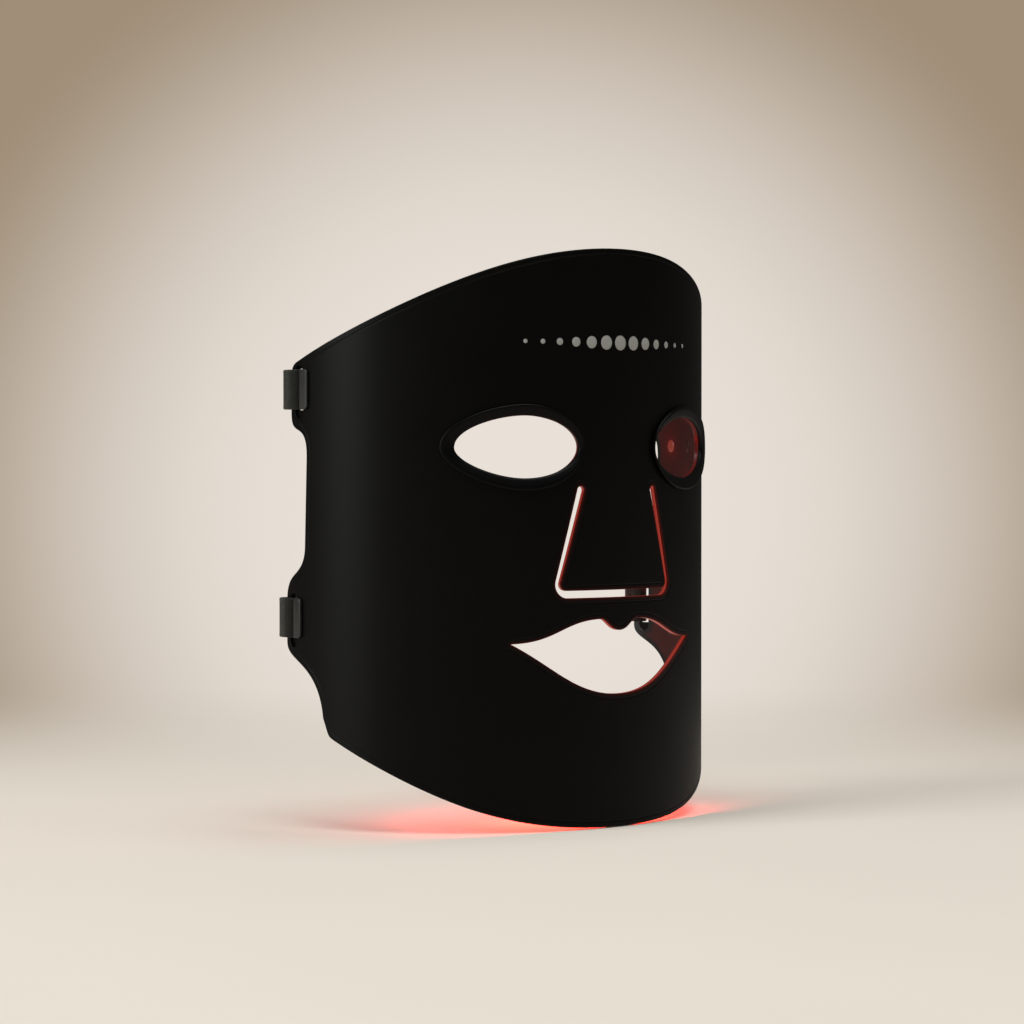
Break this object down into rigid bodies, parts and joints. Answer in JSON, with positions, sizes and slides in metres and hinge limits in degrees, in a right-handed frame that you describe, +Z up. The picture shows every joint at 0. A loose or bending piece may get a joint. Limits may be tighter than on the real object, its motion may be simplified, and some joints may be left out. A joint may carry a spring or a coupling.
{
  "type": "led face mask",
  "caption": "Flexible wrap-around light therapy face mask with eye, nose and mouth openings, bending sides and strap loops.",
  "frame": {"origin": "under the middle of the mask's width and depth, at the level of the chin's lowest point", "axes": "+Z up, -Y the way the face looks, +X the wearer's left"},
  "size_m": [0.1906, 0.0905, 0.218],
  "materials": {
    "skin": "matte silicone",
    "rim": "satin silicone",
    "liner": "translucent silicone lit red from inside",
    "circuit": "polyimide film",
    "red_light": "lit red",
    "infrared_light": "satin",
    "webbing": "brushed solid-woven polyester webbing",
    "strap_end": "smooth satin",
    "housing": "fine matte",
    "socket": "plated",
    "tongue": "matte",
    "board": "solder mask",
    "chips": "matte"
  },
  "bodies": {
    "face_panel": {"skin_front": "skin", "liner_front": "liner", "circuit_front": "circuit", "red_leds_front": "red_light", "infrared_leds_front": "infrared_light", "eye_rim_right": "rim", "eye_rim_left": "rim"},
    "nose_flap": {"nose_flap_skin": "skin", "nose_flap_liner": "liner", "nose_flap_circuit": "circuit", "nose_flap_leds": "red_light"},
    "wing_right": {"skin_right": "skin", "liner_right": "liner", "circuit_right": "circuit", "red_leds_right": "red_light", "infrared_leds_right": "infrared_light", "strap_end_upper_right": "strap_end", "strap_end_lower_right": "strap_end"},
    "wing_left": {"skin_left": "skin", "liner_left": "liner", "circuit_left": "circuit", "red_leds_left": "red_light", "infrared_leds_left": "infrared_light", "strap_end_upper_left": "strap_end", "strap_end_lower_left": "strap_end", "inlet_housing": "housing", "inlet_socket": "socket", "inlet_tongue": "tongue", "inlet_board": "board", "inlet_chips": "chips"},
    "loop_upper_right": {"strap_loop_upper_right": "webbing"},
    "loop_lower_right": {"strap_loop_lower_right": "webbing"},
    "loop_upper_left": {"strap_loop_upper_left": "webbing"},
    "loop_lower_left": {"strap_loop_lower_left": "webbing"}
  },
  "joints": [
    {"name": "nose_flap_swing", "type": "hinge", "parent": "face_panel", "child": "nose_flap", "pos_m": [0, -0.0452, 0.1286], "axis": [-1, 0, 0], "range_deg": [-8, 25], "stiffness_Nm_per_rad": 0.05},
    {"name": "wing_bend_right", "type": "hinge", "parent": "face_panel", "child": "wing_right", "pos_m": [-0.07783, -0.01038, 0.105], "axis": [0, 0, 1], "range_deg": [-20, 35], "stiffness_Nm_per_rad": 2.5},
    {"name": "wing_bend_left", "type": "hinge", "parent": "face_panel", "child": "wing_left", "pos_m": [0.07783, -0.01038, 0.105], "axis": [0, 0, -1], "range_deg": [-20, 35], "stiffness_Nm_per_rad": 2.5},
    {"name": "loop_swing_upper_right", "type": "hinge", "parent": "wing_right", "child": "loop_upper_right", "pos_m": [-0.09183, 0.03567, 0.1649], "axis": [0, 0, 1], "range_deg": [-25, 25]},
    {"name": "loop_swing_lower_right", "type": "hinge", "parent": "wing_right", "child": "loop_lower_right", "pos_m": [-0.09121, 0.03931, 0.0789], "axis": [0, 0, 1], "range_deg": [-25, 25]},
    {"name": "loop_swing_upper_left", "type": "hinge", "parent": "wing_left", "child": "loop_upper_left", "pos_m": [0.09183, 0.03567, 0.1649], "axis": [0, 0, -1], "range_deg": [-25, 25]},
    {"name": "loop_swing_lower_left", "type": "hinge", "parent": "wing_left", "child": "loop_lower_left", "pos_m": [0.09121, 0.03931, 0.0789], "axis": [0, 0, -1], "range_deg": [-25, 25]}
  ]
}
